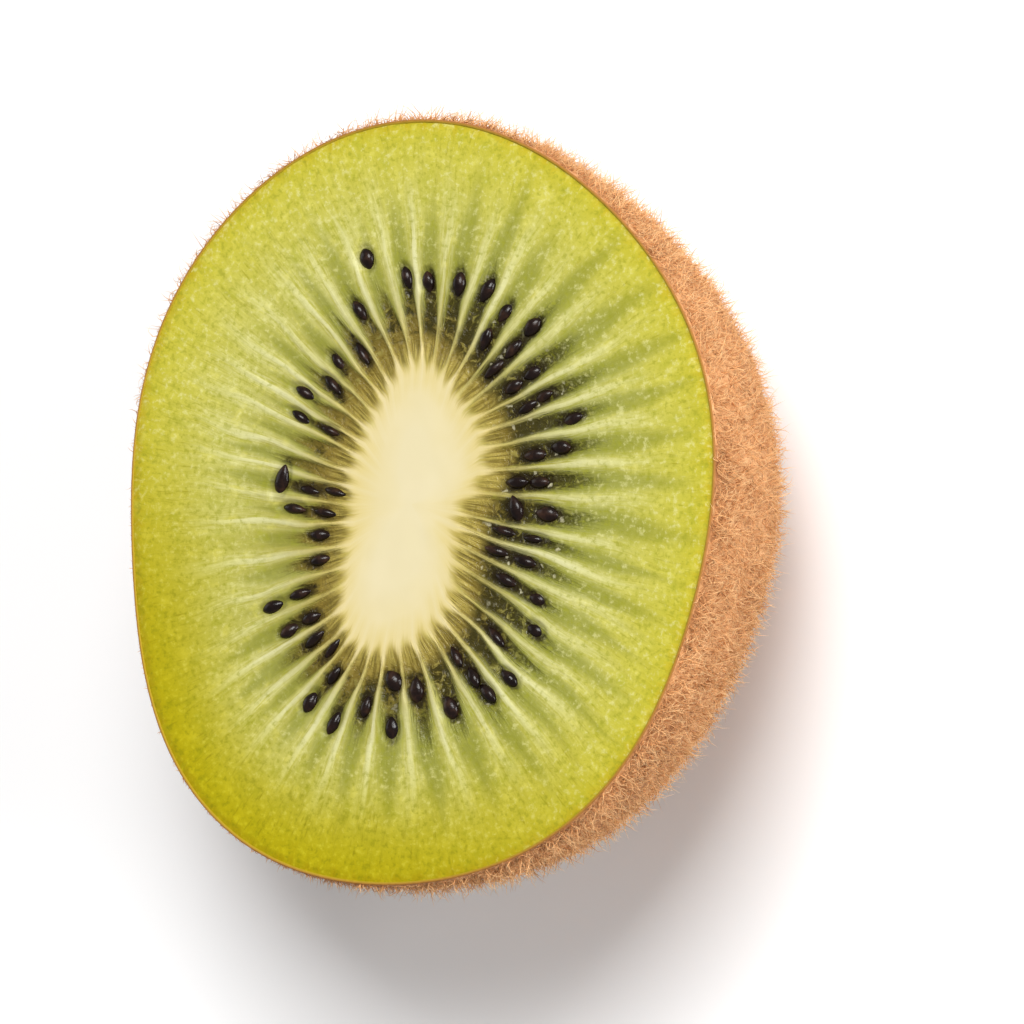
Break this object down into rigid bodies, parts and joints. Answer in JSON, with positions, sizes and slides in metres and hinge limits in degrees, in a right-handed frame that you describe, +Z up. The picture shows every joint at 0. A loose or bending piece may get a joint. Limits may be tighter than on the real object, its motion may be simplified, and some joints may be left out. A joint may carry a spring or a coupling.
{
  "type": "kiwi fruit half",
  "caption": "Half of a large oval kiwi fruit cut across its middle: pale core, radiating dark seed chambers, green flesh and brown fuzzy skin, resting on its stem end.",
  "frame": {"origin": "middle of the flat resting spot under the stem end", "axes": "+Z up, square to the cut face; +Y along the long axis of the oval cut face; +X along its short axis"},
  "size_m": [0.057, 0.0656, 0.0332],
  "materials": {
    "flesh": "moist, finely grained yellow-green flesh",
    "skin": "dry, dull tan-brown skin",
    "fuzz": "short stiff orange-brown hairs",
    "seed": "glossy, near black",
    "calyx": "dried, dark brown, dull"
  },
  "bodies": {
    "root": {"kiwi_half": "flesh"}
  },
  "joints": []
}
